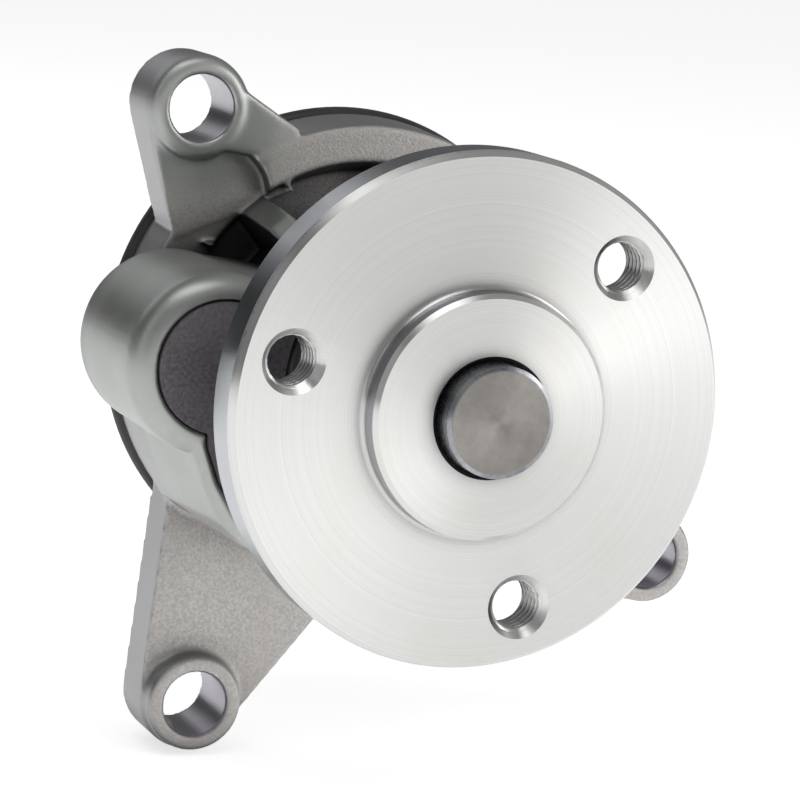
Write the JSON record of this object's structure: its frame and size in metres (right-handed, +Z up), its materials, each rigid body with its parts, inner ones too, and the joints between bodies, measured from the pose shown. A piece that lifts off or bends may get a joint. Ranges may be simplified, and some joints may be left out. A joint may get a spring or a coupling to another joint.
{
  "type": "engine water pump",
  "caption": "Cast aluminium engine water pump with a turned pulley flange, three mounting ears, a weep reservoir drum, a face seal and a plastic impeller on a bearing shaft.",
  "frame": {"origin": "the point where the shaft axis meets the mounting plane, which is the flat back of the three ears", "axes": "the shaft lies along Y: -Y points to the pulley flange, +Y to the impeller and the engine; +Z is up and +X is to the right seen from the pulley side"},
  "size_m": [0.1032, 0.0891, 0.1068],
  "materials": {
    "cast_aluminium": "cast and bead-blasted, greenish grey",
    "cover_plate": "flat dark grey plate",
    "turned_steel": "lathe-turned, bright",
    "shaft_steel": "ground bearing steel, grey brown",
    "bearing_steel": "polished bearing steel",
    "ring_steel": "ground bearing steel",
    "plated_steel": "pressed stainless sheet",
    "black_rubber": "matte black rubber",
    "cage_plastic": "moulded polyamide",
    "carbon": "fine-grained carbon, lapped face",
    "ceramic": "pale ceramic, lapped face",
    "impeller_plastic": "moulded reinforced plastic, dark grey"
  },
  "bodies": {
    "pump_body": {"housing": "cast_aluminium", "reservoir_cover": "cover_plate", "body_o_ring": "black_rubber", "bearing_outer_ring": "ring_steel", "front_bearing_seal": "black_rubber", "rear_bearing_seal": "black_rubber", "seal_cup": "plated_steel", "seal_spring": "plated_steel", "seal_bellows": "black_rubber"},
    "rotor": {"shaft": "shaft_steel", "slinger": "plated_steel", "pulley_flange": "turned_steel", "seal_seat": "ceramic", "seal_seat_boot": "black_rubber", "impeller_bush": "ring_steel", "impeller": "impeller_plastic"},
    "ball_set": {"bearing_balls": "bearing_steel", "ball_cage": "cage_plastic"},
    "roller_set": {"bearing_rollers": "bearing_steel", "roller_cage": "cage_plastic"},
    "seal_head": {"carbon_face": "carbon", "spring_washer": "plated_steel"}
  },
  "joints": [
    {"name": "shaft_spin", "type": "hinge", "parent": "pump_body", "child": "rotor", "pos_m": [0, 0, 0], "axis": [0, -1, 0], "continuous": true},
    {"name": "ball_cage_spin", "type": "hinge", "parent": "pump_body", "child": "ball_set", "pos_m": [0, 0, 0], "axis": [0, -1, 0], "continuous": true},
    {"name": "roller_cage_spin", "type": "hinge", "parent": "pump_body", "child": "roller_set", "pos_m": [0, 0, 0], "axis": [0, -1, 0], "continuous": true},
    {"name": "seal_face_slide", "type": "slide", "parent": "pump_body", "child": "seal_head", "axis": [0, -1, 0], "range_m": [0, 0.0008], "stiffness_N_per_m": 4000, "springref_m": -0.003, "deforming": ["seal_spring", "seal_bellows"]}
  ],
  "couplings": [
    {"joint": "ball_cage_spin", "follows": "shaft_spin", "ratio": 0.36804},
    {"joint": "roller_cage_spin", "follows": "shaft_spin", "ratio": 0.39013}
  ]
}
